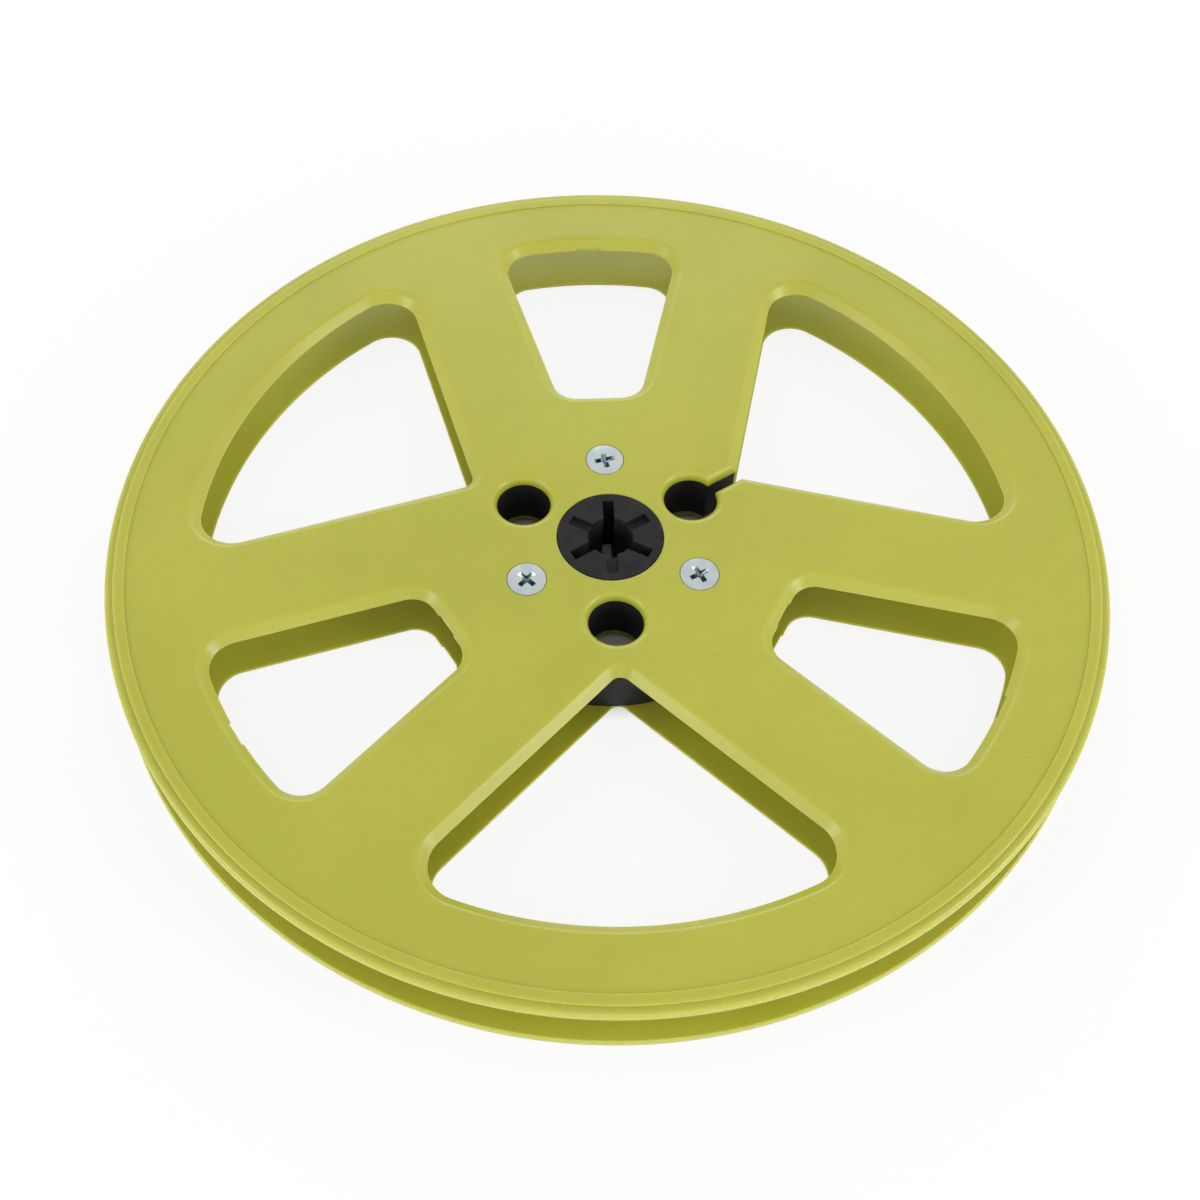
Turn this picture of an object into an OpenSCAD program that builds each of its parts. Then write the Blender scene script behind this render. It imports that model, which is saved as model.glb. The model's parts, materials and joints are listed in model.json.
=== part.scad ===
// Open tape reel: two moulded flanges screwed to a cored hub with a keyed spindle bore.
// Z is the spindle axis. The reel rests on the lower flange's bead at z = 0.

/* [Flanges] */
// Radius of each flange at its outer edge
flange_r = 88.9; // [86:0.1:94]
// Thickness of a flange plate
plate_t = 2.1; // [1.9:0.1:2.8]
// Clear width between the flanges, where the tape winds
tape_gap = 9.2; // [8:0.1:13]
// Width and depth of the chamfer along the windows, on the outer face
window_chamfer = 1.7; // [0.8:0.1:1.8]
// Rounding round the finger holes and along the tape slot, on the outer face
face_round = 1.7; // [0.8:0.1:1.8]

/* [Rim] */
// Width of the raised bead round the outer face
bead_w = 2; // [1.4:0.1:3]
// Height of the bead above the outer face
bead_h = 0.25; // [0.25:0.05:0.6]
// Rounding of the bead's edges
bead_round = 0.2; // [0.05:0.05:0.2]
// Width of the lip outside the bead
lip_w = 1.5; // [0.9:0.1:2]
// Drop of the lip below the outer face
lip_drop = 0.15; // [0.05:0.05:0.3]
// Rounding of the lip's upper edge
lip_round = 0.7; // [0.2:0.05:0.75]
// Rounding of the rim's edge that faces the tape
inner_round = 0.4; // [0.1:0.05:0.5]

/* [Windows] */
// Number of large windows, and of the small windows between them
sectors = 3; // [3:1:3]
// Distance from the spindle axis to the windows' outer wall
window_r = 73.9; // [72:0.1:77]
// Angle from a large window's middle to either of its sides
large_angle = 45.4; // [43:0.1:47]
// Distance from the spindle axis to the wall at a large window's inner corner
large_inner_r = 28.5; // [27.5:0.1:30]
// Radius of a large window's inner corner
large_corner_r = 2; // [1:0.1:4]
// Radius of a large window's outer corners
large_outer_corner_r = 6.1; // [4:0.1:7]
// Angle from a small window's middle to either of its sides
small_angle = 15; // [12:0.1:16]
// Distance from the spindle axis to a small window's straight inner wall
small_inner_r = 34; // [32:0.1:38]
// Width between a small window's sides, at its inner wall
small_inner_w = 15.6; // [13:0.1:18]
// Radius of a small window's inner corners
small_corner_r = 4.6; // [2.5:0.1:5]
// Radius of a small window's outer corners
small_outer_corner_r = 5.3; // [3.5:0.1:6]
// Width of the gate notches in the small windows' end walls
gate_w = 5; // [3:0.1:7]
// Depth of the gate notches
gate_d = 0.3; // [0.2:0.05:0.6]

/* [Hub] */
// Radius of the drum that the tape winds on
drum_r = 28.575; // [28:0.025:30]
// Wall thickness of the drum
drum_wall = 2.2; // [1.6:0.1:2.6]
// Radius of the centre boss that shows in the flanges
boss_r = 9.5; // [9.2:0.1:10]
// Clearance between the boss and a flange's centre hole
boss_gap = 0.12; // [0.05:0.01:0.3]
// Radius of the spindle bore
bore_r = 4.1; // [4:0.05:4.6]
// Width of the key slots
key_w = 2; // [1.6:0.1:2]
// Distance from the spindle axis to the outer end of a key slot
key_r = 8; // [7:0.1:8.4]
// Depth of the blind key slots, which lie between the through ones
blind_key_d = 0.9; // [0.5:0.1:2]
// Thickness of the web that carries the drum
web_t = 1.8; // [1.2:0.1:2.4]
// Thickness of the ribs between boss and drum
rib_w = 1.4; // [1:0.1:2]
// Wall thickness of the tubes round the finger holes
tube_wall = 1.6; // [1.2:0.1:2]
// Radius of the pillars that take the screws
pillar_r = 3.5; // [3:0.1:4]

/* [Finger holes and tape slot] */
// Radius of the circle through the centres of the finger holes
finger_circle_r = 17.6; // [17:0.1:18]
// Radius of a finger hole
finger_r = 4.9; // [4.4:0.1:5]
// Width of the tape slot, from one finger hole out through the drum
tape_slot_w = 2.5; // [1:0.1:3]

/* [Screws] */
// Radius of the circle through the centres of the screws
screw_circle_r = 17.6; // [16.5:0.1:18.5]
// Radius of a screw's head
head_r = 3.42; // [3.1:0.02:3.5]
// Height of the head's straight edge above its cone
head_edge = 0.2; // [0.1:0.05:0.25]
// Outer radius of the thread
thread_r = 1.75; // [1.75:0.05:1.9]
// Depth of the thread
thread_d = 0.4; // [0.2:0.05:0.5]
// Distance between the thread's ridges
thread_pitch = 0.8; // [0.6:0.05:1]
// Length of a screw, head included
screw_len = 5.6; // [4.8:0.1:6]
// Gap round the head at the flange's face
head_gap = 0.14; // [0.08:0.02:0.24]
// Clearance between a screw and what it is seated in
screw_gap = 0.04; // [0.02:0.01:0.08]
// Span of the cross recess
cross_span = 3.8; // [2.6:0.1:4]
// Width of the cross recess's arms
cross_w = 0.95; // [0.5:0.05:1]
// Depth of the cross recess
cross_d = 1.4; // [0.8:0.1:1.6]

/* [Hidden] */
$fn = 96;

// How far a cutter reaches past the face that it opens
past = 1;
// How far the cutter of a mouth laps into the opening that it belongs to
lap = 0.5;
// How far a corner's cutter stands proud of the walls that it joins
hair = 0.03;

lower_face_z = bead_h;
upper_face_z = lower_face_z + 2*plate_t + tape_gap;
hub_z0 = lower_face_z + plate_t;
hub_z1 = upper_face_z - plate_t;
mid_z = (hub_z0 + hub_z1)/2;

bead_out_r = flange_r - lip_w;
bead_in_r = bead_out_r - bead_w;

sector = 360/sectors;
large_azimuths = [for (i = [0:sectors - 1]) 30 + i*sector];
small_azimuths = [for (i = [0:sectors - 1]) 90 + i*sector];
tape_slot_azimuth = large_azimuths[0];
// How far each screw's recess is turned from the radial direction
recess_turns = [12, 15, 57];

// Where the lines of a window's two sides cross, as a distance from the spindle axis
large_cross_r = large_inner_r + large_corner_r - large_corner_r/sin(large_angle);
small_cross_r = small_inner_r - small_inner_w/2/tan(small_angle);

// Unit vectors along a window's upper side, and from that side into the window
function along(angle) = [cos(angle), sin(angle)];
function inward(angle) = [sin(angle), -cos(angle)];
function flip(p) = [p.x, -p.y];

// Centre of the corner between a window's upper side and its outer wall
function outer_corner(cross_r, angle, r) =
    let (
        start = [cross_r, 0] + r*inward(angle),
        run = start*along(angle),
        rest = start*start - pow(window_r - r, 2)
    )
    start + (-run + sqrt(run*run - rest))*along(angle);

// Centre of the corner between a small window's upper side and its inner wall
function small_inner_corner() =
    let (x = small_inner_r + small_corner_r)
    [x, (x - small_cross_r)*tan(small_angle) - small_corner_r/cos(small_angle)];

// Waste outside a rounded corner at the origin, where the part lies towards -x and -y
module corner_waste(r) {
    difference() {
        translate([-r, -r]) square(r + past);
        translate([-r, -r]) circle(r);
    }
}

// Half section of an opening whose wall stands wall_r from the sweep's axis, with its mouth
// as the child; x is the distance from the axis and y is z
module opening_section(wall_r) {
    translate([0, -plate_t - past]) square([wall_r, plate_t + 2*past]);
    translate([wall_r, 0]) children();
}

// Section of a chamfered mouth, with the wall at x = 0, lapped back into the opening
module chamfered_mouth() {
    c = window_chamfer;
    polygon([[-lap, -c], [0, -c], [c + past, past], [-lap, past]]);
}

// Section of a rounded mouth, with the wall at x = 0, lapped back into the opening
module rounded_mouth() {
    difference() {
        translate([-lap, -face_round]) square([face_round + lap, face_round + past]);
        translate([face_round, -face_round]) circle(face_round);
    }
}

// A section turned upright and swept along +x for a length
module sweep_along(length) {
    rotate([90, 0, 90]) linear_extrude(length) children();
}

// Chamfer along a straight wall from a to b, with the opening on the right hand
module straight_mouth(a, b) {
    d = b - a;
    translate([a.x, a.y, 0]) rotate([0, 0, atan2(d.y, d.x)])
        sweep_along(norm(d)) chamfered_mouth();
}

// Opening at a rounded corner: it stands proud of the walls it joins by a hair, so they cross
module corner_opening(centre, r) {
    translate([centre.x, centre.y, 0]) rotate_extrude() opening_section(r + hair) chamfered_mouth();
}

// Outer end of a window: its outer wall, both corners and the chamfer of both sides
module outer_end(cross_r, angle, r, side_start) {
    corner = outer_corner(cross_r, angle, r);
    side_end = corner - r*inward(angle);
    slope = corner.y/corner.x;
    wedge_end = [flange_r, flange_r*slope];
    wedge_start = (side_end.x - lap)/flange_r*wedge_end;
    intersection() {
        rotate_extrude() opening_section(window_r) chamfered_mouth();
        through([flip(wedge_start), flip(wedge_end), wedge_end, wedge_start]);
    }
    for (side = [0, 1]) mirror([0, side, 0]) {
        corner_opening(corner, r);
        straight_mouth(side_start, side_end);
    }
    through(concat([for (p = [side_start, side_end]) flip(p)], [side_end, side_start]));
}

// Prism through the plate
module through(points) {
    translate([0, 0, -plate_t - past]) linear_extrude(plate_t + 2*past) polygon(points);
}

// Large window about the +x axis, in a plate whose outer face is z = 0
module large_window() {
    centre = [large_inner_r + large_corner_r, 0];
    corner_opening(centre, large_corner_r);
    outer_end(large_cross_r, large_angle, large_outer_corner_r,
        centre - large_corner_r*inward(large_angle));
}

// Small window about the +x axis, in a plate whose outer face is z = 0
module small_window() {
    centre = small_inner_corner();
    wall_end = [small_inner_r, centre.y];
    inner_end = [centre.x, centre.y];
    for (side = [0, 1])
        mirror([0, side, 0]) corner_opening(centre, small_corner_r);
    straight_mouth(flip(wall_end), wall_end);
    through([flip(wall_end), flip(inner_end), inner_end, wall_end]);
    outer_end(small_cross_r, small_angle, small_outer_corner_r,
        centre - small_corner_r*inward(small_angle));
    gate_notch(small_inner_r - gate_d);
    gate_notch(window_r - lap);
}

// Notch left by a gate in a small window's end wall
module gate_notch(from_r) {
    translate([from_r, -gate_w/2, -plate_t - past])
        cube([gate_d + lap, gate_w, plate_t + 2*past]);
}

// Finger hole with its rounded mouth
module finger_hole() {
    translate([finger_circle_r, 0, 0]) rotate_extrude() opening_section(finger_r) rounded_mouth();
}

// Tape slot from a finger hole out into the large window
module flange_tape_slot() {
    length = large_inner_r + large_corner_r - finger_circle_r;
    translate([finger_circle_r, 0, 0]) sweep_along(length) {
        for (side = [0, 1])
            mirror([side, 0]) opening_section(tape_slot_w/2) rounded_mouth();
    }
}

// Seat for a countersunk head, with its hole through the plate
module screw_seat() {
    cone_h = head_r - thread_r;
    translate([0, 0, -head_edge]) cylinder(h = head_edge + past, r = head_r + head_gap);
    translate([0, 0, -head_edge - cone_h])
        cylinder(h = cone_h, r1 = thread_r + screw_gap, r2 = head_r + screw_gap);
    translate([0, 0, -plate_t - past]) cylinder(h = plate_t + past, r = thread_r + screw_gap);
}

// Half section of a plain flange, with the outer face at y = 0
module flange_section() {
    difference() {
        union() {
            translate([0, -plate_t]) square([bead_out_r, plate_t]);
            translate([0, -plate_t]) square([flange_r, plate_t - lip_drop]);
            translate([bead_in_r, -lap]) square([bead_w, bead_h + lap]);
        }
        translate([bead_out_r, bead_h]) corner_waste(bead_round);
        translate([bead_in_r, bead_h]) mirror([1, 0]) corner_waste(bead_round);
        translate([flange_r, -lip_drop]) corner_waste(lip_round);
        translate([flange_r, -plate_t]) mirror([0, 1]) corner_waste(inner_round);
    }
}

// Flange with its outer face at z = 0 and the plate below it
module flange() {
    difference() {
        rotate_extrude($fn = 4*$fn) flange_section();
        translate([0, 0, -plate_t - past])
            cylinder(h = plate_t + 2*past, r = boss_r + boss_gap);
        for (a = large_azimuths)
            rotate([0, 0, a]) {
                large_window();
                finger_hole();
            }
        for (a = small_azimuths)
            rotate([0, 0, a]) {
                small_window();
                translate([screw_circle_r, 0, 0]) screw_seat();
            }
        rotate([0, 0, tape_slot_azimuth]) flange_tape_slot();
    }
}

module upper_flange() {
    color("#b8bb58") translate([0, 0, upper_face_z]) flange();
}

module lower_flange() {
    color("#b8bb58") translate([0, 0, lower_face_z]) mirror([0, 0, 1]) flange();
}

// Thread half section as ridges below y = 0, grown by a gap
module thread_section(length, gap) {
    ridges = floor((length - thread_pitch)/thread_pitch);
    root_r = thread_r - thread_d + gap;
    top_r = thread_r + gap;
    points = [for (i = [0:ridges - 1]) let (y = -thread_pitch*i)
        each [[root_r, y - thread_pitch/4], [top_r, y - thread_pitch/2], [root_r, y - 3*thread_pitch/4]]];
    tip = -length - gap;
    polygon(concat([[0, 0], [root_r, 0]], points, [[root_r, tip + thread_d], [root_r - thread_d, tip], [0, tip]]));
}

// Where a screw's thread starts below the head, and how long it is
thread_start = head_edge + head_r - thread_r;
thread_len = screw_len - thread_start;

// Hole in the hub that the thread has formed, for a flange whose outer face is z = 0
module thread_hole() {
    translate([0, 0, -thread_start]) rotate_extrude($fn = 48) thread_section(thread_len, screw_gap);
}

// Countersunk screw with its head flush with z = 0
module screw(turn) {
    cone_h = head_r - thread_r;
    rotate([0, 0, turn]) difference() {
        union() {
            translate([0, 0, -head_edge]) cylinder(h = head_edge, r = head_r, $fn = 48);
            translate([0, 0, -thread_start]) cylinder(h = cone_h, r1 = thread_r, r2 = head_r, $fn = 48);
            translate([0, 0, -thread_start]) rotate_extrude($fn = 48) thread_section(thread_len, 0);
        }
        intersection() {
            translate([0, 0, -cross_d])
                cylinder(h = cross_d + past, r1 = cross_w/2, r2 = cross_span/2*(1 + past/cross_d), $fn = 32);
            union() {
                for (a = [0, 90])
                    rotate([0, 0, a]) translate([-cross_span, -cross_w/2, -cross_d])
                        cube([2*cross_span, cross_w, cross_d + past]);
            }
        }
    }
}

// Moves to a screw's place in the upper flange
module at_screw(i) {
    rotate([0, 0, small_azimuths[i]]) translate([screw_circle_r, 0, upper_face_z]) children();
}

// Turns what belongs to the upper flange over to the lower one
module to_lower() {
    translate([0, 0, 2*mid_z]) mirror([0, 0, 1]) children();
}

module upper_screw(i) {
    color("#ccd2d6") at_screw(i) screw(recess_turns[i]);
}

module lower_screw(i) {
    color("#ccd2d6") to_lower() at_screw(i) screw(recess_turns[i]);
}

// Key slots from the bore outwards, as deep as depth below the upper face
module key_slots(azimuths, depth) {
    for (a = azimuths)
        rotate([0, 0, a]) translate([0, -key_w/2, upper_face_z - depth])
            cube([key_r, key_w, depth + past]);
}

// Plan of the pockets that are cored out of the hub, above and below its web
module pocket_plan() {
    tube_r = finger_r + tube_wall;
    slot_wall = tape_slot_w/2 + tube_wall;
    rib_len = drum_r - boss_r;
    difference() {
        circle(drum_r - drum_wall, $fn = 2*$fn);
        circle(boss_r);
        for (a = large_azimuths)
            rotate(a) translate([finger_circle_r, 0]) circle(tube_r);
        for (a = small_azimuths)
            rotate(a) {
                translate([screw_circle_r, 0]) circle(pillar_r);
                translate([boss_r - lap, -rib_w/2]) square([rib_len, rib_w]);
            }
        rotate(tape_slot_azimuth)
            translate([finger_circle_r, -slot_wall]) square([drum_r - finger_circle_r, 2*slot_wall]);
    }
}

module hub() {
    hub_h = hub_z1 - hub_z0;
    boss_h = upper_face_z - lower_face_z;
    color("#303030") difference() {
        union() {
            translate([0, 0, hub_z0]) cylinder(h = hub_h, r = drum_r, $fn = 2*$fn);
            translate([0, 0, lower_face_z]) cylinder(h = boss_h, r = boss_r);
        }
        for (z = [hub_z0 - past, mid_z + web_t/2])
            translate([0, 0, z]) linear_extrude(hub_h/2 - web_t/2 + past) pocket_plan();
        translate([0, 0, lower_face_z - past]) cylinder(h = boss_h + 2*past, r = bore_r);
        key_slots(small_azimuths, boss_h + past);
        key_slots(large_azimuths, blind_key_d);
        to_lower() key_slots(large_azimuths, blind_key_d);
        for (a = large_azimuths)
            rotate([0, 0, a]) translate([finger_circle_r, 0, hub_z0 - past])
                cylinder(h = hub_h + 2*past, r = finger_r);
        rotate([0, 0, tape_slot_azimuth]) translate([finger_circle_r, -tape_slot_w/2, hub_z0 - past])
            cube([drum_r - finger_circle_r + past, tape_slot_w, hub_h + 2*past]);
        for (i = [0:sectors - 1]) {
            at_screw(i) thread_hole();
            to_lower() at_screw(i) thread_hole();
        }
    }
}

hub();
upper_flange();
lower_flange();
upper_screw(0);  // upper_screw_1
upper_screw(1);  // upper_screw_2
upper_screw(2);  // upper_screw_3
lower_screw(0);  // lower_screw_1
lower_screw(1);  // lower_screw_2
lower_screw(2);  // lower_screw_3
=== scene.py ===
"""Open tape reel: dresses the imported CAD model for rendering.

Both flanges and the six screws are made with Geometry Nodes from named sizes, and they stand
for their CAD solids. The hub keeps its CAD mesh. All sizes are in metres, the spindle axis is Z,
and the reel lies on the floor at z = 0.
"""

import json
import math

import bpy
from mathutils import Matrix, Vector

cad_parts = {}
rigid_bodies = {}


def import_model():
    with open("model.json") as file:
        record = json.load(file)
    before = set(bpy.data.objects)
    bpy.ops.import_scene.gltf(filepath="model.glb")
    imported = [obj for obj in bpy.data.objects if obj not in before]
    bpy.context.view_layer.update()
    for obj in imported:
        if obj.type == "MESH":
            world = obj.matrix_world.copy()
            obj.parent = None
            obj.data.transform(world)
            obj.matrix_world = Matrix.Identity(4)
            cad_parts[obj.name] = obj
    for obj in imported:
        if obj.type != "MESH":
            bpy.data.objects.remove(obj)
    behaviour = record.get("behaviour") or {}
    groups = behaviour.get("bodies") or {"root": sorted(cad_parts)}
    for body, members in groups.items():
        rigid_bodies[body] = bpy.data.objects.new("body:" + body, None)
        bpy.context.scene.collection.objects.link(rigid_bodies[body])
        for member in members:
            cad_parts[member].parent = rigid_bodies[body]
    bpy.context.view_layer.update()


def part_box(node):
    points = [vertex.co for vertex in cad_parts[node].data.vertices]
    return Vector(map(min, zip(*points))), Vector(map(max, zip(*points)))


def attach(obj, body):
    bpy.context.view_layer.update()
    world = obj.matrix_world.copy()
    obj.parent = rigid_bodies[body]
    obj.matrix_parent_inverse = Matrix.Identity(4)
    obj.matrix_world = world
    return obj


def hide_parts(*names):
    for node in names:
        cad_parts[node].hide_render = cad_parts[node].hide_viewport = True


MM = 0.001
QUARTER = math.pi / 2

# ---------------------------------------------------------------- sizes

FLANGE_SIZES = {
    "Flange radius": 88.9 * MM,
    "Plate thickness": 2.1 * MM,
    "Centre hole radius": 9.62 * MM,
    "Centre hole rounding": 0.15 * MM,
    "Bead width": 2.0 * MM,
    "Bead height": 0.25 * MM,
    "Bead rounding": 0.2 * MM,
    "Lip width": 1.5 * MM,
    "Lip drop": 0.15 * MM,
    "Lip rounding": 0.7 * MM,
    "Tape side rounding": 0.4 * MM,
    "Window radius": 73.9 * MM,
    "Window chamfer": 1.7 * MM,
    "Chamfer softening": 1.5 * MM,
    "Mouth rounding": 1.7 * MM,
    "Back edge rounding": 0.2 * MM,
    "Large side angle": math.radians(45.4),
    "Large inner distance": 28.5 * MM,
    "Large inner width": 1.64 * MM,
    "Large inner corner": 2.0 * MM,
    "Large outer corner": 6.1 * MM,
    "Small side angle": math.radians(15.0),
    "Small inner distance": 34.0 * MM,
    "Small inner width": 15.6 * MM,
    "Small inner corner": 4.6 * MM,
    "Small outer corner": 5.3 * MM,
    "Gate width": 5.0 * MM,
    "Gate depth": 0.3 * MM,
    "Gate roughness": 0.3 * MM,
    "Finger circle": 17.6 * MM,
    "Finger hole radius": 4.9 * MM,
    "Tape slot width": 2.5 * MM,
    "Screw circle": 17.6 * MM,
    "Head seat radius": 3.56 * MM,
    "Cone seat radius": 3.46 * MM,
    "Shank hole radius": 1.79 * MM,
    "Head edge": 0.2 * MM,
    "Cone height": 1.67 * MM,
}

SCREW_SIZES = {
    "Screw circle": 17.6 * MM,
    "Screw length": 5.6 * MM,
    "Head radius": 3.42 * MM,
    "Head edge": 0.2 * MM,
    "Head rounding": 0.06 * MM,
    "Cone height": 1.67 * MM,
    "Core radius": 1.35 * MM,
    "Tip chamfer": 0.4 * MM,
    "Thread depth": 0.4 * MM,
    "Thread pitch": 0.8 * MM,
    "Thread width": 0.42 * MM,
    "Thread turns": 3.6,
    "Recess span": 3.8 * MM,
    "Recess width": 0.95 * MM,
    "Recess depth": 1.4 * MM,
    "Recess corner": 0.22 * MM,
    "First recess turn": math.radians(12),
    "Second recess turn": math.radians(15),
    "Third recess turn": math.radians(57),
}

# Directions of the first large window and the first small one, and the step to the next alike
LARGE_AZIMUTH = math.radians(30)
SMALL_AZIMUTH = math.radians(90)
SECTOR = math.radians(120)
SECTORS = 3

# How far a cutter reaches past the face that it opens, and back into its own opening
PAST = 1.0 * MM
LAP = 0.5 * MM
# Points closer than this are one point
MERGE = 1e-6
GATE_SEED = 3.7

# Steps in each arc of an outline or a section
OUTLINE_STEPS = 28
MOUTH_STEPS = 14
EDGE_STEPS = 8
HEAD_STEPS = 4
RECESS_STEPS = 5
# Points round the flange, a finger hole, a screw and its seat, the recess's cone and a shank hole
FLANGE_POINTS = 432
HOLE_POINTS = 96
SCREW_POINTS = 64
CONE_POINTS = 48
SHANK_POINTS = 48
THREAD_POINTS = 40
# Vertices of a gate notch's block along X, Y and Z
GATE_GRID = (3, 26, 5)

# ---------------------------------------------------------------- node helpers


class Num:
    """A number in a node tree. Arithmetic on it adds Math nodes to that tree."""

    def __init__(self, tree, socket):
        self.tree = tree
        self.socket = socket

    def __add__(self, other):
        return self.tree.math("ADD", self, other)

    def __radd__(self, other):
        return self.tree.math("ADD", other, self)

    def __sub__(self, other):
        return self.tree.math("SUBTRACT", self, other)

    def __rsub__(self, other):
        return self.tree.math("SUBTRACT", other, self)

    def __mul__(self, other):
        return self.tree.math("MULTIPLY", self, other)

    def __rmul__(self, other):
        return self.tree.math("MULTIPLY", other, self)

    def __truediv__(self, other):
        return self.tree.math("DIVIDE", self, other)

    def __neg__(self):
        return self.tree.math("MULTIPLY", self, -1.0)


class Wiring:
    """A node tree that is wired in code. Its numbers can be given as Num, socket or value."""

    def __init__(self, group):
        self.group = group

    def wire(self, socket, given):
        if isinstance(given, list):
            for item in given:
                self.wire(socket, item)
        elif isinstance(given, Num):
            self.group.links.new(given.socket, socket)
        elif isinstance(given, bpy.types.NodeSocket):
            self.group.links.new(given, socket)
        else:
            socket.default_value = given

    def add(self, kind, wires, **settings):
        made = self.group.nodes.new(kind)
        for key, setting in settings.items():
            setattr(made, key, setting)
        for label, given in wires.items():
            self.wire(made.inputs[label], given)
        return made

    def node(self, kind, wires, **settings):
        """Adds a node and returns its first output."""
        return self.add(kind, wires, **settings).outputs[0]

    def math(self, operation, *given, clamp=False):
        made = self.add("ShaderNodeMath", {}, operation=operation, use_clamp=clamp)
        for socket, number in zip(made.inputs, given):
            self.wire(socket, number)
        return Num(self, made.outputs[0])

    def vector(self, x, y, z):
        return self.node("ShaderNodeCombineXYZ", {"X": x, "Y": y, "Z": z})

    def noise(self, place, scale, detail=2.0, roughness=0.5):
        """Smooth noise from about 0.2 to 0.8, with its features per millimetre as scale."""
        wires = {"Vector": place, "Scale": scale / MM, "Detail": detail, "Roughness": roughness}
        return Num(self, self.node("ShaderNodeTexNoise", wires))


class ShapeTree(Wiring):
    """A Geometry Nodes tree with named inputs."""

    def __init__(self, name, inputs):
        super().__init__(bpy.data.node_groups.new(name, "GeometryNodeTree"))
        sockets = self.group.interface
        sockets.new_socket("Geometry", in_out="OUTPUT", socket_type="NodeSocketGeometry")
        for label, kind in inputs.items():
            sockets.new_socket(label, in_out="INPUT", socket_type="NodeSocket" + kind)
        self.entry = self.group.nodes.new("NodeGroupInput")
        self.exit = self.group.nodes.new("NodeGroupOutput")

    def value(self, label):
        return Num(self, self.entry.outputs[label])

    def index(self):
        return Num(self, self.node("GeometryNodeInputIndex", {}))

    def pick(self, number, choices):
        """The choice whose place in the list is the given whole number."""
        made = self.add("GeometryNodeIndexSwitch", {}, data_type="FLOAT")
        for _ in choices[2:]:
            made.index_switch_items.new()
        self.wire(made.inputs[0], number)
        for socket, choice in zip(made.inputs[1:], choices):
            self.wire(socket, choice)
        return Num(self, made.outputs[0])

    def arc_chain(self, arcs, steps):
        """Closed curve in the XY plane through arcs of (centre x, centre y, radius, start, sweep).

        Straight runs join one arc's end to the next one's start. An entry of two numbers is a
        sharp corner.
        """
        arcs = [arc if len(arc) > 2 else (*arc, 0.0, 0.0, 0.0) for arc in arcs]
        number = self.index()
        which = self.math("FLOOR", number / (steps + 1))
        along = (number - which * (steps + 1)) / steps
        x, y, radius, start, sweep = [self.pick(which, list(column)) for column in zip(*arcs)]
        angle = start + sweep * along
        place = self.vector(
            x + radius * self.math("COSINE", angle), y + radius * self.math("SINE", angle), 0.0
        )
        count = len(arcs) * (steps + 1)
        points = self.node("GeometryNodePoints", {"Count": count, "Position": place})
        points = self.merge(points)
        curve = self.node("GeometryNodePointsToCurves", {"Points": points, "Weight": self.index()})
        return self.node("GeometryNodeSetSplineCyclic", {"Geometry": curve, "Cyclic": True})

    def circle(self, radius, points):
        wires = {"Resolution": points, "Radius": radius}
        return self.node("GeometryNodeCurvePrimitiveCircle", wires, mode="RADIUS")

    def sweep(self, path, section, caps=False):
        """Sweeps a section along a path. Its x points outwards (or right), and its y down."""
        level = self.node("GeometryNodeSetCurveNormal", {"Curve": path}, mode="Z_UP")
        wires = {"Curve": level, "Profile Curve": section, "Fill Caps": caps}
        return self.node("GeometryNodeCurveToMesh", wires)

    def revolve(self, arcs, steps, path_radius, points):
        """Turns a section of (distance from the axis, depth) arcs about Z."""
        shifted = [(arc[0] - path_radius, *arc[1:]) for arc in arcs]
        return self.merge(self.sweep(self.circle(path_radius, points), self.arc_chain(shifted, steps)))

    def prism(self, outline, bottom, height):
        """Solid prism on a closed outline."""
        base = self.move(self.node("GeometryNodeFillCurve", {"Curve": outline}, mode="NGONS"), z=bottom)
        rise = self.vector(0.0, 0.0, height)
        sides = self.node(
            "GeometryNodeExtrudeMesh", {"Mesh": base, "Offset": rise, "Individual": False}
        )
        turned = self.node("GeometryNodeFlipFaces", {"Mesh": base})
        return self.merge(self.node("GeometryNodeJoinGeometry", {"Geometry": [sides, turned]}))

    def cylinder(self, radius, height, vertices):
        wires = {"Vertices": vertices, "Radius": radius, "Depth": height}
        return self.node("GeometryNodeMeshCylinder", wires)

    def merge(self, geometry):
        wires = {"Geometry": geometry, "Distance": MERGE}
        return self.node("GeometryNodeMergeByDistance", wires)

    def move(self, geometry, x=0.0, y=0.0, z=0.0):
        wires = {"Geometry": geometry, "Translation": self.vector(x, y, z)}
        return self.node("GeometryNodeTransform", wires)

    def turn(self, geometry, x=0.0, z=0.0):
        wires = {"Geometry": geometry, "Rotation": self.vector(x, 0.0, z)}
        return self.node("GeometryNodeTransform", wires)

    def around(self, geometry, first):
        """Copies of a geometry about the Z axis, one for each sector."""
        points = self.node("GeometryNodePoints", {"Count": SECTORS})
        angle = self.vector(0.0, 0.0, self.index() * SECTOR + first)
        wires = {"Points": points, "Instance": geometry, "Rotation": angle}
        copies = self.node("GeometryNodeInstanceOnPoints", wires)
        return self.node("GeometryNodeRealizeInstances", {"Geometry": copies})

    def cut(self, solid, cutters):
        wires = {"Mesh 1": solid, "Mesh 2": cutters}
        return self.node("GeometryNodeMeshBoolean", wires, operation="DIFFERENCE", solver="MANIFOLD")

    def combine(self, operation, solids):
        wires = {"Mesh": solids}
        return self.node("GeometryNodeMeshBoolean", wires, operation=operation, solver="MANIFOLD")

    def finish(self, geometry, material):
        """Ends the tree with plain geometry in one material."""
        geometry = self.node("GeometryNodeRealizeInstances", {"Geometry": geometry})
        wires = {"Geometry": geometry, "Material": material}
        self.wire(self.exit.inputs[0], self.node("GeometryNodeSetMaterial", wires))
        return self.group


# ---------------------------------------------------------------- flanges


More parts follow.
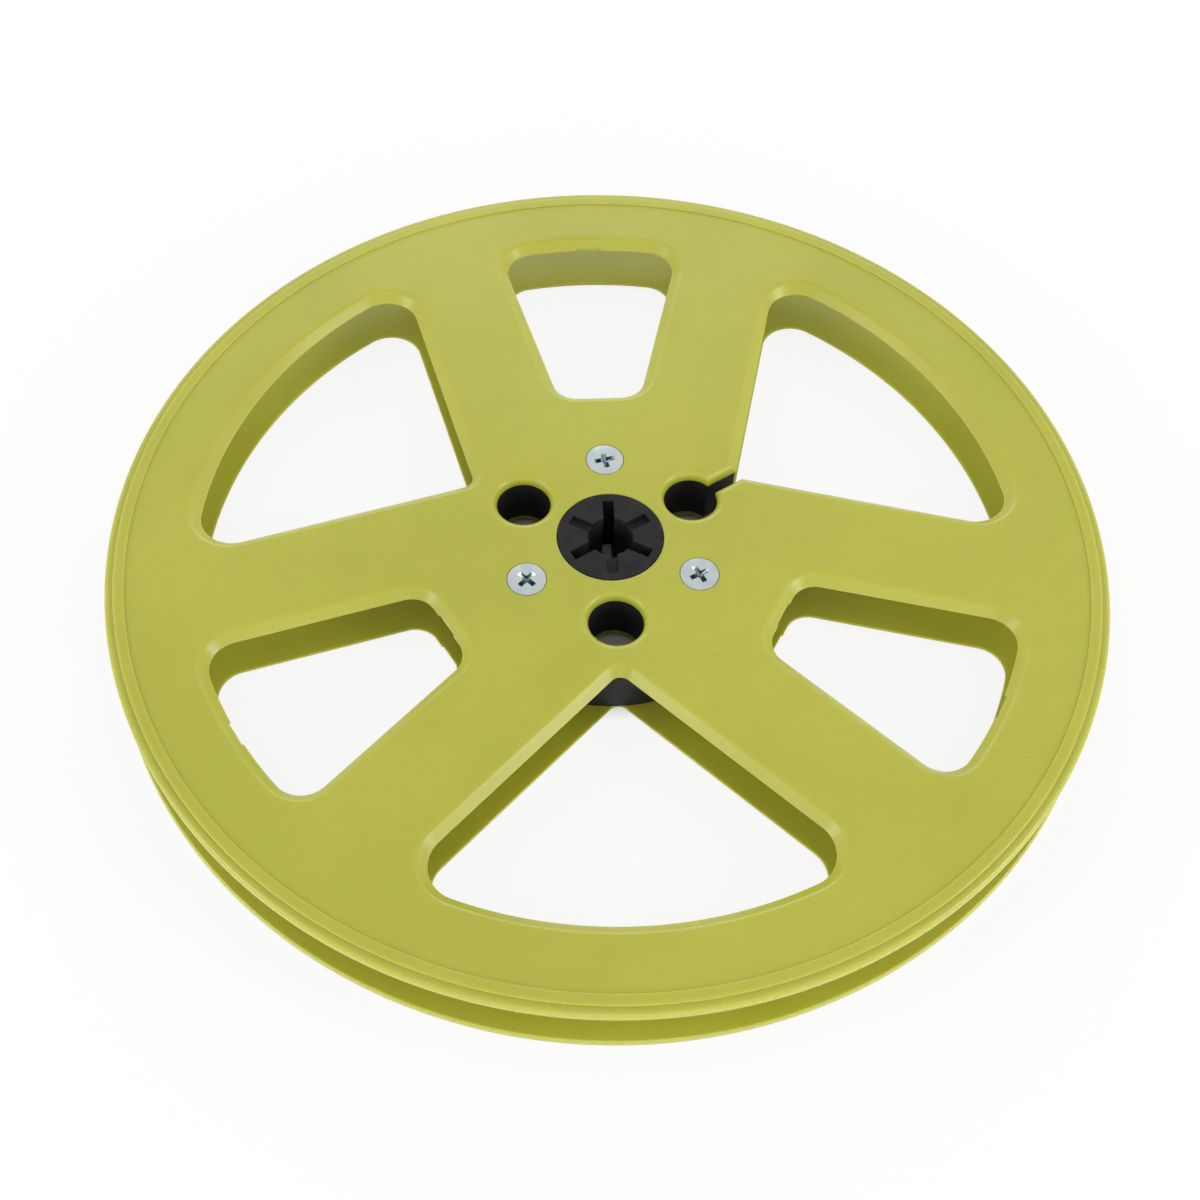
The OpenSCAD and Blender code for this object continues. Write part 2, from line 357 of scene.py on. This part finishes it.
def window_section(depth, chamfer, soft, back):
    """Section of a window's cutter: softened chamfer above, wall, rounded back edge below."""
    start = chamfer + soft * math.tan(QUARTER / 4)
    return [
        (-LAP, -PAST),
        (start, -PAST),
        (start, soft, soft, -QUARTER, -QUARTER / 2),
        (0.0, chamfer),
        (back, depth - back, back, math.pi, -QUARTER),
        (back, depth + PAST),
        (-LAP, depth + PAST),
    ]


def hole_section(depth, mouth, back):
    """Section of a finger hole's cutter: rounded mouth above, wall, rounded back edge below."""
    return [
        (-LAP, -PAST),
        (mouth, -PAST),
        (mouth, mouth, mouth, -QUARTER, -QUARTER),
        (back, depth - back, back, math.pi, -QUARTER),
        (back, depth + PAST),
        (-LAP, depth + PAST),
    ]


def slot_section(half, depth, mouth):
    """Section of the tape slot's cutter, with both its upper edges rounded."""
    return [
        (-(half + mouth), -PAST),
        (half + mouth, -PAST),
        (half + mouth, mouth, mouth, -QUARTER, -QUARTER),
        (half, depth + PAST),
        (-half, depth + PAST),
        (-(half + mouth), mouth, mouth, 0.0, -QUARTER),
    ]


def window_outline(tree, radius, angle, distance, width, inner_corner, outer_corner, inset):
    """Outline of a window about the +X axis, drawn in by an inset."""
    sine, cosine = tree.math("SINE", angle), tree.math("COSINE", angle)
    tangent = sine / cosine
    # Where the lines of the two sides cross
    cross = distance - width * 0.5 / tangent
    inner_x = distance + inner_corner
    inner_y = (inner_x - cross) * tangent - inner_corner / cosine
    # The outer corner's centre lies its radius inside the side and inside the outer wall
    start_x = cross + outer_corner * sine
    start_y = -(outer_corner * cosine)
    run = start_x * cosine + start_y * sine
    reach = radius - outer_corner
    rest = start_x * start_x + start_y * start_y - reach * reach
    length = tree.math("SQRT", run * run - rest) - run
    outer_x = start_x + length * cosine
    outer_y = start_y + length * sine
    half = tree.math("ARCTAN2", outer_y, outer_x)
    inner = inner_corner - inset
    outer = outer_corner - inset
    corner_sweep = angle + QUARTER - half
    arcs = [
        (0.0, 0.0, radius - inset, -half, half * 2.0),
        (outer_x, outer_y, outer, half, corner_sweep),
        (inner_x, inner_y, inner, angle + QUARTER, QUARTER - angle),
        (inner_x, -inner_y, inner, math.pi, QUARTER - angle),
        (outer_x, -outer_y, outer, -QUARTER - angle, corner_sweep),
    ]
    return tree.arc_chain(arcs, OUTLINE_STEPS)


def plain_disc(tree, size):
    """The flange before anything is cut from it, with its outer face at z = 0."""
    radius, depth, hole = size["Flange radius"], size["Plate thickness"], size["Centre hole radius"]
    bead_out = radius - size["Lip width"]
    bead_in = bead_out - size["Bead width"]
    bead, bead_h = size["Bead rounding"], size["Bead height"]
    lip, drop = size["Lip rounding"], size["Lip drop"]
    edge, inner = size["Centre hole rounding"], size["Tape side rounding"]
    arcs = [
        (hole, depth),
        (hole + edge, edge, edge, math.pi, QUARTER),
        (bead_in, 0.0),
        (bead_in + bead, bead - bead_h, bead, math.pi, QUARTER),
        (bead_out - bead, bead - bead_h, bead, -QUARTER, QUARTER),
        (bead_out, drop),
        (radius - lip, drop + lip, lip, -QUARTER, QUARTER),
        (radius - inner, depth - inner, inner, 0.0, QUARTER),
    ]
    return tree.revolve(arcs, EDGE_STEPS, size["Window radius"], FLANGE_POINTS)


def gate_notch(tree, size):
    """Ragged block that leaves the trace of a gate in a wall at x = 0."""
    rough = size["Gate roughness"]
    height = size["Plate thickness"] + PAST
    block = tree.vector(size["Gate depth"] * 2.0, size["Gate width"], height)
    wires = {f"Vertices {axis}": number for axis, number in zip("XYZ", GATE_GRID)}
    cube = tree.node("GeometryNodeMeshCube", {"Size": block, **wires})
    place = tree.node("GeometryNodeInputPosition", {})
    seeded = tree.node("ShaderNodeVectorMath", {0: place, 1: (GATE_SEED * MM,) * 3})
    shift = (tree.noise(seeded, 0.9, 2.0) - 0.5) * rough
    lift = (tree.noise(seeded, 1.7, 1.0) - 0.5) * rough
    moved = tree.node(
        "GeometryNodeSetPosition", {"Geometry": cube, "Offset": tree.vector(shift, shift, lift)}
    )
    return tree.move(moved, z=height * -0.5)


def flange_tree():
    """The upper flange stands as cut. Roll turns it over about the first large window's axis."""
    inputs = dict.fromkeys([*FLANGE_SIZES, "Face height", "Roll"], "Float")
    inputs["Material"] = "Material"
    tree = ShapeTree("moulded flange", inputs)
    size = {label: tree.value(label) for label in FLANGE_SIZES}
    depth, mouth, back = size["Plate thickness"], size["Mouth rounding"], size["Back edge rounding"]
    wall = window_section(depth, size["Window chamfer"], size["Chamfer softening"], back)
    wall = tree.arc_chain(wall, EDGE_STEPS)
    through = depth + 6 * PAST
    cutters = []

    # Windows: a chamfered wall swept round the outline, and the core inside it
    for kind, azimuth in (("Large", LARGE_AZIMUTH), ("Small", SMALL_AZIMUTH)):
        words = ("side angle", "inner distance", "inner width", "inner corner", "outer corner")
        shape = [size["Window radius"]] + [size[f"{kind} {word}"] for word in words]
        ring = tree.sweep(window_outline(tree, *shape, 0.0), wall)
        core = tree.prism(window_outline(tree, *shape, LAP / 2), -through / 2, through)
        cutters += [tree.around(ring, azimuth), tree.around(core, azimuth)]

    # Finger holes, one in the direction of each large window
    hole = size["Finger hole radius"]
    section = tree.arc_chain(hole_section(depth, mouth, back), MOUTH_STEPS)
    ring = tree.sweep(tree.circle(hole, HOLE_POINTS), section)
    for cutter in (ring, tree.cylinder(hole - LAP / 2, through, SCREW_POINTS)):
        cutters.append(tree.around(tree.move(cutter, x=size["Finger circle"]), LARGE_AZIMUTH))

    # Tape slot from the first finger hole out into the first large window
    slot_end = size["Large inner distance"] + size["Large inner corner"]
    ends = {
        "Start": tree.vector(size["Finger circle"], 0.0, 0.0),
        "End": tree.vector(slot_end, 0.0, 0.0),
    }
    path = tree.node("GeometryNodeCurvePrimitiveLine", ends)
    section = tree.arc_chain(slot_section(size["Tape slot width"] * 0.5, depth, mouth), MOUTH_STEPS)
    cutters.append(tree.turn(tree.sweep(path, section, caps=True), z=LARGE_AZIMUTH))

    # Countersunk screw seats
    edge, cone_h = size["Head edge"], size["Cone height"]
    wires = {
        "Vertices": SCREW_POINTS,
        "Radius Bottom": size["Shank hole radius"],
        "Radius Top": size["Cone seat radius"],
        "Depth": cone_h,
    }
    cone = tree.move(tree.node("GeometryNodeMeshCone", wires), z=-(edge + cone_h))
    seat = tree.cylinder(size["Head seat radius"], edge * 2.0, SCREW_POINTS)
    shank = tree.cylinder(size["Shank hole radius"], through, SHANK_POINTS)
    for cutter in (seat, cone, shank):
        cutters.append(tree.around(tree.move(cutter, x=size["Screw circle"]), SMALL_AZIMUTH))

    # Gate traces in both end walls of the small windows
    for wall_x in (size["Small inner distance"], size["Window radius"]):
        cutters.append(tree.around(tree.move(gate_notch(tree, size), x=wall_x), SMALL_AZIMUTH))

    body = tree.cut(plain_disc(tree, size), cutters)
    body = tree.turn(tree.turn(body, z=-LARGE_AZIMUTH), x=tree.value("Roll"))
    body = tree.move(tree.turn(body, z=LARGE_AZIMUTH), z=tree.value("Face height"))
    return tree.finish(body, tree.value("Material"))


# ---------------------------------------------------------------- screws


def cross_outline(tree, span, width, corner):
    """Plan of a screw's cross recess, with rounded inner corners."""
    tip, side = span * 0.5, width * 0.5
    centre = side + corner
    arcs = []
    for arm in range(4):
        cos, sin = round(math.cos(arm * QUARTER)), round(math.sin(arm * QUARTER))
        for across in (-side, side):
            arcs.append((tip * cos - across * sin, tip * sin + across * cos))
        arcs.append(
            (centre * (cos - sin), centre * (sin + cos), corner, (arm - 1) * QUARTER, -QUARTER)
        )
    return tree.arc_chain(arcs, RECESS_STEPS)


def screw_tree():
    """Six countersunk screws: three in the upper flange, and three turned over in the lower."""
    inputs = dict.fromkeys([*SCREW_SIZES, "Upper face height", "Lower face height"], "Float")
    inputs["Material"] = "Material"
    tree = ShapeTree("countersunk screws", inputs)
    size = {label: tree.value(label) for label in SCREW_SIZES}
    length, head, edge = size["Screw length"], size["Head radius"], size["Head edge"]
    cone_end = edge + size["Cone height"]
    core, tip, bevel = size["Core radius"], size["Tip chamfer"], size["Head rounding"]
    neck = head - size["Cone height"]
    body = tree.revolve(
        [
            (0.0, 0.0),
            (head - bevel, bevel, bevel, -QUARTER, QUARTER),
            (head, edge),
            (neck, cone_end),
            (core, cone_end),
            (core, length - tip),
            (core - tip, length),
            (0.0, length),
        ],
        HEAD_STEPS,
        head,
        SCREW_POINTS,
    )

    # Right-handed thread, let into the core a little
    sunk = LAP / 5
    turns, pitch, half = size["Thread turns"], size["Thread pitch"], size["Thread width"] * 0.5
    wires = {
        "Resolution": THREAD_POINTS,
        "Rotations": turns,
        "Start Radius": core - sunk,
        "End Radius": core - sunk,
        "Height": turns * pitch,
        "Reverse": True,
    }
    helix = tree.node("GeometryNodeCurveSpiral", wires)
    ridge = tree.arc_chain([(0.0, -half), (size["Thread depth"] + sunk, 0.0), (0.0, half)], 1)
    thread = tree.move(tree.sweep(helix, ridge, caps=True), z=half + tip - length)
    body = tree.combine("UNION", [body, thread])

    # The recess is a cross that a cone narrows towards its bottom
    deep, span, width = size["Recess depth"], size["Recess span"], size["Recess width"]
    cross = tree.prism(cross_outline(tree, span * 1.5, width, size["Recess corner"]), -deep, deep + PAST)
    slope = (span - width) * 0.5 / deep
    wires = {
        "Vertices": CONE_POINTS,
        "Radius Bottom": width * 0.5,
        "Radius Top": width * 0.5 + slope * (deep + PAST),
        "Depth": deep + PAST,
    }
    cone = tree.move(tree.node("GeometryNodeMeshCone", wires), z=-deep)
    body = tree.cut(body, [tree.combine("INTERSECT", [cross, cone])])

    # Points 0 to 2 carry the upper screws, and 3 to 5 the lower ones
    number = tree.index()
    below = tree.math("FLOOR", number / SECTORS)
    which = number - below * SECTORS
    azimuth = which * SECTOR + SMALL_AZIMUTH
    recess_turns = [size[f"{word} recess turn"] for word in ("First", "Second", "Third")]
    ring = size["Screw circle"]
    place = tree.vector(
        ring * tree.math("COSINE", azimuth),
        ring * tree.math("SINE", azimuth),
        tree.pick(below, [tree.value("Upper face height"), tree.value("Lower face height")]),
    )
    points = tree.node("GeometryNodePoints", {"Count": 2 * SECTORS, "Position": place})
    facing = tree.vector(below * math.pi, 0.0, azimuth + tree.pick(which, recess_turns))
    wires = {"Points": points, "Instance": body, "Rotation": facing}
    screws = tree.node("GeometryNodeInstanceOnPoints", wires)
    return tree.finish(screws, tree.value("Material"))


# ---------------------------------------------------------------- making pieces


def built(name, group, values):
    """Runs a tree with the given inputs and keeps its result as a plain mesh object."""
    piece = bpy.data.objects.new(name, bpy.data.meshes.new(name))
    bpy.context.scene.collection.objects.link(piece)
    modifier = piece.modifiers.new("build", "NODES")
    modifier.node_group = group
    for item in group.interface.items_tree:
        if item.in_out == "INPUT" and item.name in values:
            modifier[item.identifier] = values[item.name]
    graph = bpy.context.evaluated_depsgraph_get()
    mesh = bpy.data.meshes.new_from_object(piece.evaluated_get(graph))
    piece.modifiers.remove(modifier)
    piece.data = mesh
    mesh.name = name
    return piece


def soften(piece, angle=30.0):
    """Smooth shading that keeps flat faces flat, and edges over the angle sharp."""
    mesh = piece.data
    mesh.shade_smooth()
    mesh.set_sharp_from_angle(angle=math.radians(angle))
    weighted = piece.modifiers.new("weighted normals", "WEIGHTED_NORMAL")
    weighted.keep_sharp = True
    weighted.weight = 100


# ---------------------------------------------------------------- finishes


class Finish(Wiring):
    """A material whose patterns follow the piece's own coordinates."""

    def __init__(self, name, **uniform):
        self.material = bpy.data.materials.new(name)
        self.material.use_nodes = True
        super().__init__(self.material.node_tree)
        self.skin = self.group.nodes["Principled BSDF"]
        for label, setting in uniform.items():
            self.skin.inputs[label.replace("_", " ")].default_value = setting
        self.place = self.add("ShaderNodeTexCoord", {}).outputs["Object"]
        parts = self.add("ShaderNodeSeparateXYZ", {"Vector": self.place}).outputs
        self.x, self.y, self.z = [Num(self, part) for part in parts]
        self.radius = self.math("SQRT", self.x * self.x + self.y * self.y)

    def span(self, number, low, high, start=0.0, end=1.0):
        """Maps low..high to start..end, held at the ends."""
        wires = {"Value": number, "From Min": low, "From Max": high, "To Min": start, "To Max": end}
        return Num(self, self.node("ShaderNodeMapRange", wires, interpolation_type="SMOOTHSTEP"))

    def specks(self, size, spacing, share):
        """1 inside sparse round dots of a given radius, and 0 elsewhere."""
        cells = self.add("ShaderNodeTexVoronoi", {"Vector": self.place, "Scale": 1 / spacing})
        chosen = self.add("ShaderNodeSeparateColor", {"Color": cells.outputs["Color"]}).outputs[0]
        near = self.span(Num(self, cells.outputs["Distance"]), size / spacing, 0.5 * size / spacing)
        return near * self.math("LESS_THAN", Num(self, chosen), share)

    def hairlines(self, angle, count, low, high):
        """Long thin strokes that lie at an angle, as stretched noise above a threshold."""
        mapped = self.node(
            "ShaderNodeMapping",
            {"Vector": self.place, "Rotation": (0.0, 0.0, angle), "Scale": (0.12, 1.0, 1.0)},
        )
        return self.span(self.noise(mapped, count, 1.0), low, high)

    def blend(self, share, first, second):
        """Mixes two colours."""
        mix = self.add("ShaderNodeMix", {}, data_type="RGBA")
        colours = [socket for socket in mix.inputs if socket.type == "RGBA"]
        self.wire(mix.inputs["Factor"], share)
        self.wire(colours[0], first)
        self.wire(colours[1], second)
        return [socket for socket in mix.outputs if socket.type == "RGBA"][0]

    def relief(self, height, depth, under=None):
        """Bump of a given depth for a height from 0 to 1."""
        wires = {"Height": height, "Strength": 1.0, "Distance": depth}
        if under is not None:
            wires["Normal"] = under
        return self.node("ShaderNodeBump", wires)

    def done(self, colour, roughness, normal):
        self.wire(self.skin.inputs["Base Color"], colour)
        self.wire(self.skin.inputs["Roughness"], roughness)
        self.wire(self.skin.inputs["Normal"], normal)
        return self.material


def flange_finish():
    """Satin yellow-green plastic: fine mould grain, faint mottling, rubbed rim, a few marks."""
    paint = Finish(
        "satin yellow-green plastic",
        IOR=1.5,
        Specular_IOR_Level=0.6,
        Subsurface_Weight=0.5,
        Subsurface_Radius=(1.0, 0.7, 0.12),
        Subsurface_Scale=2.5 * MM,
    )
    broad = paint.noise(paint.place, 0.035, 2.0)
    cloud = paint.noise(paint.place, 0.4, 3.0)
    grain = paint.noise(paint.place, 2.6, 3.0, 0.6)
    colour = paint.blend(paint.span(broad, 0.3, 0.7), FLANGE_DEEP, FLANGE_PALE)
    colour = paint.blend(paint.span(cloud, 0.35, 0.75, 0.0, 0.35), colour, FLANGE_DEEP)
    # The rim is rubbed paler and smoother, with faint rings along it
    rim = paint.span(paint.radius, 85.2 * MM, 88.4 * MM)
    rings = paint.noise(paint.vector(paint.radius, 0.0, 0.0), 2.2, 2.0)
    colour = paint.blend(rim * paint.span(rings, 0.35, 0.65, 0.1, 0.4), colour, FLANGE_WORN)
    scratches = paint.hairlines(0.7, 1.6, 0.745, 0.78) + paint.hairlines(-1.1, 1.3, 0.75, 0.785)
    colour = paint.blend(scratches * 0.2, colour, FLANGE_WORN)
    dirt = paint.specks(0.22 * MM, 15 * MM, 0.12) + paint.specks(0.12 * MM, 6 * MM, 0.03)
    colour = paint.blend(dirt * 0.75, colour, SPECK)
    roughness = 0.24 + cloud * 0.12 + grain * 0.08 - rim * 0.05 + scratches * 0.1
    normal = paint.relief(grain, 0.016 * MM)
    normal = paint.relief(cloud, 0.02 * MM, normal)
    return paint.done(colour, roughness, normal)


def hub_finish():
    """Matt black plastic with a fine grain, faint flow streaks and a little dust."""
    paint = Finish("matt black plastic", IOR=1.5, Specular_IOR_Level=0.15)
    cloud = paint.noise(paint.place, 0.35, 4.0)
    grain = paint.noise(paint.place, 4.0, 2.0)
    turned = paint.math("ARCTAN2", paint.y, paint.x)
    around = paint.vector(turned * 9 * MM, paint.radius * 0.12, 0.0)
    streak = paint.noise(around, 1.4, 3.0)
    colour = paint.blend(paint.span(cloud, 0.3, 0.7), HUB_BLACK, HUB_GREY)
    colour = paint.blend(paint.span(streak, 0.55, 0.75, 0.0, 0.5), colour, HUB_STREAK)
    dust = paint.specks(0.1 * MM, 2.2 * MM, 0.12)
    colour = paint.blend(dust * 0.5, colour, DUST)
    roughness = 0.42 + streak * 0.12 + cloud * 0.1
    normal = paint.relief(grain, 0.008 * MM)
    normal = paint.relief(streak, 0.015 * MM, normal)
    return paint.done(colour, roughness, normal)


def zinc_finish():
    """Bright zinc with a bluish and straw tint, fine scratches and painted shade in the recesses."""
    paint = Finish("bright zinc plate", Metallic=1.0)
    tint = paint.noise(paint.place, 0.45, 2.0)
    frost = paint.noise(paint.place, 5.0, 3.0)
    rubs = paint.hairlines(0.4, 4.0, 0.6, 0.7) + paint.hairlines(-0.9, 3.0, 0.62, 0.72)
    colour = paint.blend(paint.span(tint, 0.35, 0.65), ZINC_BLUE, ZINC_STRAW)
    # Painted shade: the recess below the head's face is darkened towards a shade colour, and the same
    # mask makes it a little glossier
    below = paint.math("MINIMUM", UPPER_FACE_Z - paint.z, paint.z - LOWER_FACE_Z)
    deep = paint.span(below, 0.12 * MM, 0.5 * MM)
    colour = paint.blend(deep * 0.85, colour, ZINC_RECESS_SHADE)
    roughness = 0.3 + frost * 0.12 + rubs * 0.1 - deep * 0.08
    normal = paint.relief(frost, 0.006 * MM)
    normal = paint.relief(rubs, -0.004 * MM, normal)
    return paint.done(colour, roughness, normal)


FLANGE_DEEP = (0.380, 0.386, 0.028, 1)
FLANGE_PALE = (0.415, 0.420, 0.038, 1)
FLANGE_WORN = (0.490, 0.500, 0.085, 1)
SPECK = (0.06, 0.05, 0.03, 1)
HUB_BLACK = (0.011, 0.011, 0.012, 1)
HUB_GREY = (0.017, 0.017, 0.018, 1)
HUB_STREAK = (0.030, 0.030, 0.031, 1)
DUST = (0.22, 0.22, 0.2, 1)
ZINC_BLUE = (0.42, 0.49, 0.52, 1)
ZINC_STRAW = (0.49, 0.52, 0.51, 1)
# Painted shade colour for the screw recesses
ZINC_RECESS_SHADE = (0.10, 0.16, 0.17, 1)

# ---------------------------------------------------------------- stage


def softbox(name, azimuth, elevation, distance, size, power):
    """A square softbox that faces the reel from an azimuth and an elevation in degrees."""
    turn, rise = math.radians(azimuth), math.radians(elevation)
    place = distance * Vector(
        (math.cos(turn) * math.cos(rise), math.sin(turn) * math.cos(rise), math.sin(rise))
    )
    lamp = bpy.data.lights.new(name, "AREA")
    lamp.shape = "SQUARE"
    lamp.size = size
    lamp.energy = power
    box = bpy.data.objects.new(name, lamp)
    box.location = place
    box.rotation_euler = (-place).to_track_quat("-Z", "Y").to_euler()
    bpy.context.scene.collection.objects.link(box)


def white_where_seen(wiring):
    """1 on rays from the camera, in gloss and through glass, and 0 on all other rays."""
    path = wiring.add("ShaderNodeLightPath", {}).outputs
    seen = wiring.math("MAXIMUM", path["Is Camera Ray"], path["Is Glossy Ray"])
    return wiring.math("MAXIMUM", seen, path["Is Transmission Ray"])


def floor_finish():
    """Plain white floor that keeps the reel's shadow. It shows no glow under the hub."""
    material = bpy.data.materials.new("white floor")
    material.use_nodes = True
    wiring = Wiring(material.node_tree)
    wiring.group.nodes.clear()
    place = wiring.add("ShaderNodeTexCoord", {}).outputs["Object"]
    length = wiring.add("ShaderNodeVectorMath", {0: place}, operation="LENGTH")
    inner, outer = GLOW_EDGE
    wires = {"Value": length.outputs["Value"], "From Min": inner, "From Max": outer}
    open_floor = Num(wiring, wiring.node("ShaderNodeMapRange", wires))
    matt = wiring.node("ShaderNodeBsdfDiffuse", {"Color": FLOOR_WHITE})
    glow = wiring.node("ShaderNodeEmission", {"Strength": 1.0})
    share = white_where_seen(wiring) * FLOOR_GLOW * open_floor
    mixed = wiring.node("ShaderNodeMixShader", {0: share, 1: matt, 2: glow})
    wiring.add("ShaderNodeOutputMaterial", {"Surface": mixed})
    return material


def studio():
    scene = bpy.context.scene
    scene.view_settings.view_transform = "Standard"

    lens = bpy.data.cameras.new("camera")
    lens.sensor_width = SENSOR_WIDTH
    lens.lens = FOCAL_LENGTH
    camera = bpy.data.objects.new("camera", lens)
    camera.location = CAMERA_PLACE
    camera.rotation_euler = CAMERA_TURN
    scene.collection.objects.link(camera)
    scene.camera = camera

    signs = ((-1, -1), (1, -1), (1, 1), (-1, 1))
    corners = [(x * FLOOR_REACH, y * FLOOR_REACH, FLOOR_Z) for x, y in signs]
    mesh = bpy.data.meshes.new("floor")
    mesh.from_pydata(corners, [], [(0, 1, 2, 3)])
    mesh.materials.append(floor_finish())
    floor = bpy.data.objects.new("floor", mesh)
    scene.collection.objects.link(floor)

    world = bpy.data.worlds.new("studio")
    scene.world = world
    world.use_nodes = True
    wiring = Wiring(world.node_tree)
    background = world.node_tree.nodes["Background"]
    background.inputs["Color"].default_value = (1, 1, 1, 1)
    # The tent that lights the reel is brighter at its walls than overhead
    direction = wiring.add("ShaderNodeTexCoord", {}).outputs["Generated"]
    up = Num(wiring, wiring.add("ShaderNodeSeparateXYZ", {"Vector": direction}).outputs["Z"])
    low, high = TENT_BEND
    wires = {"Value": up, "From Min": low, "From Max": high, "To Min": TENT_WALLS, "To Max": TENT_ROOF}
    tent = Num(wiring, wiring.node("ShaderNodeMapRange", wires, interpolation_type="SMOOTHSTEP"))
    # Below the horizon, where the floor hides it, the tent is a plain 1
    above = wiring.math("GREATER_THAN", up, 0.0)
    tent = 1.0 + (tent - 1.0) * above
    seen = white_where_seen(wiring)
    wiring.wire(background.inputs["Strength"], seen + tent * (1.0 - seen))

    for name, setup in SOFTBOXES.items():
        softbox(name, *setup)


# The camera that the reel is seen by: place, turn in radians, focal length and sensor in mm
CAMERA_PLACE = (-0.018381, -0.178088, 0.255629)
CAMERA_TURN = (0.59827, -0.02690, -0.05605)
FOCAL_LENGTH = 50.468
SENSOR_WIDTH = 36.0
# The floor lies a hair below the reel, so that no two faces share a plane
FLOOR_Z = -0.02 * MM
FLOOR_REACH = 6.0
# Share of white that rays from the camera see on the floor, and where it fades out under the hub
FLOOR_GLOW = 0.86
GLOW_EDGE = (24 * MM, 30 * MM)
FLOOR_WHITE = (0.88, 0.88, 0.88, 1)
# Strength of the white tent's walls and of its roof
TENT_WALLS = 2.4
TENT_ROOF = 0.52
# Height on the unit sphere where the walls begin to bend, and where they are the roof
TENT_BEND = (0.15, 0.65)
# Azimuth, elevation, distance, side and power of each softbox
SOFTBOXES = {
    "left softbox": (-162, 28, 0.90, 0.30, 1.7),
    "right softbox": (-20, 28, 0.90, 0.30, 2.1),
    "front softbox": (-90, 30, 1.20, 0.60, 1.0),
    "rear softbox": (90, 22, 1.00, 0.50, 1.5),
}

# ---------------------------------------------------------------- the reel

for old in list(bpy.data.objects):
    bpy.data.objects.remove(old)

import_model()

# Heights of the flanges' flat outer faces, where the hub's boss ends
LOWER_FACE_Z, UPPER_FACE_Z = [corner.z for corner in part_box("hub")]

studio()

flange_plastic = flange_finish()
group = flange_tree()
for node, face_z, roll in (("upper_flange", UPPER_FACE_Z, 0.0), ("lower_flange", LOWER_FACE_Z, math.pi)):
    values = {**FLANGE_SIZES, "Face height": face_z, "Roll": roll, "Material": flange_plastic}
    plate = built("moulded_" + node, group, values)
    soften(plate)
    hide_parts(node)
    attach(plate, "root")

values = {
    **SCREW_SIZES,
    "Upper face height": UPPER_FACE_Z,
    "Lower face height": LOWER_FACE_Z,
    "Material": zinc_finish(),
}
screws = built("countersunk_screws", screw_tree(), values)
soften(screws)
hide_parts(*[f"{side}_screw_{number}" for side in ("upper", "lower") for number in (1, 2, 3)])
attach(screws, "root")

hub_plastic = hub_finish()
for slot in bpy.data.objects["hub"].material_slots:
    slot.material = hub_plastic
